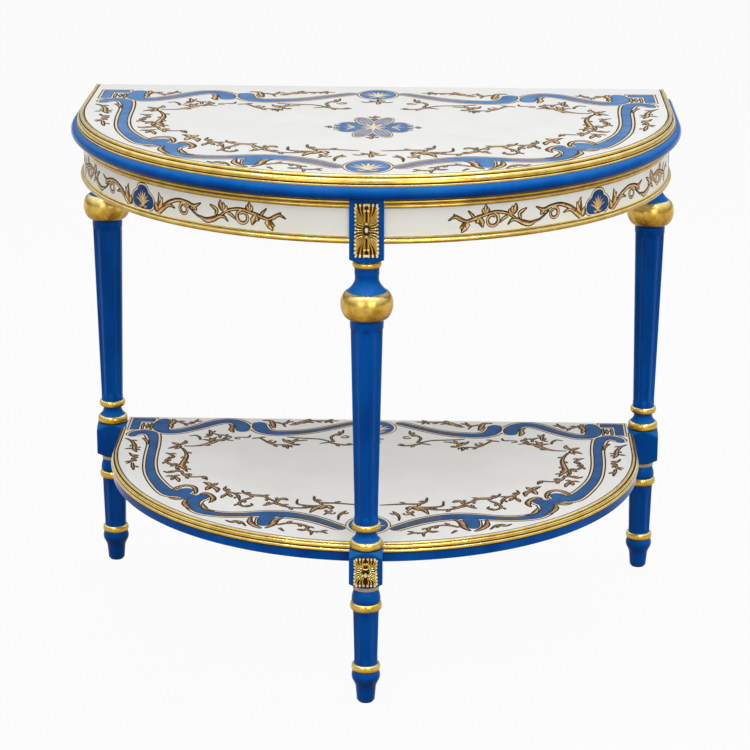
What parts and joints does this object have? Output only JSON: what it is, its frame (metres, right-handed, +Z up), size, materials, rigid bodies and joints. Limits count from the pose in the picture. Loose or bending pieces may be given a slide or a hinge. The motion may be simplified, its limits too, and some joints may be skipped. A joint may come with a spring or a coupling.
{
  "type": "demilune table",
  "caption": "Half-round side table with straight sides, turned and fluted legs, gilt mouldings, a carved front leg and a lower shelf.",
  "frame": {"origin": "on the floor, under the middle of the table's box", "axes": "+Z up, +X to the right along the straight back edge, front and carved leg towards -Y"},
  "size_m": [0.9252, 0.6129, 0.78],
  "materials": {
    "white_lacquer": "gloss off-white lacquer with painted ornament",
    "blue_lacquer": "gloss royal blue lacquer, turned rings gilt",
    "gold_leaf": "gold leaf on wood, satin",
    "bare_wood": "plain sanded beech",
    "zinc_steel": "zinc-plated"
  },
  "bodies": {
    "root": {"top_panel": "white_lacquer", "top_gilt_moulding": "gold_leaf", "top_nosing": "blue_lacquer", "side_rail_left": "white_lacquer", "side_rail_right": "white_lacquer", "rail_upper_bead_left": "gold_leaf", "rail_upper_bead_right": "gold_leaf", "rail_lower_bead_left": "gold_leaf", "rail_lower_bead_right": "gold_leaf", "back_rail": "bare_wood", "fixing_blocks": "bare_wood", "top_screws": "zinc_steel", "upper_leg_front": "blue_lacquer", "upper_leg_left": "blue_lacquer", "upper_leg_right": "blue_lacquer", "lower_leg_front": "blue_lacquer", "lower_leg_left": "blue_lacquer", "lower_leg_right": "blue_lacquer", "upper_plaque": "gold_leaf", "lower_plaque": "gold_leaf", "shelf_panel": "white_lacquer", "shelf_gilt_moulding_left": "gold_leaf", "shelf_gilt_moulding_right": "gold_leaf", "shelf_edge_band_left": "blue_lacquer", "shelf_edge_band_right": "blue_lacquer", "shelf_dowels": "bare_wood"}
  },
  "joints": []
}
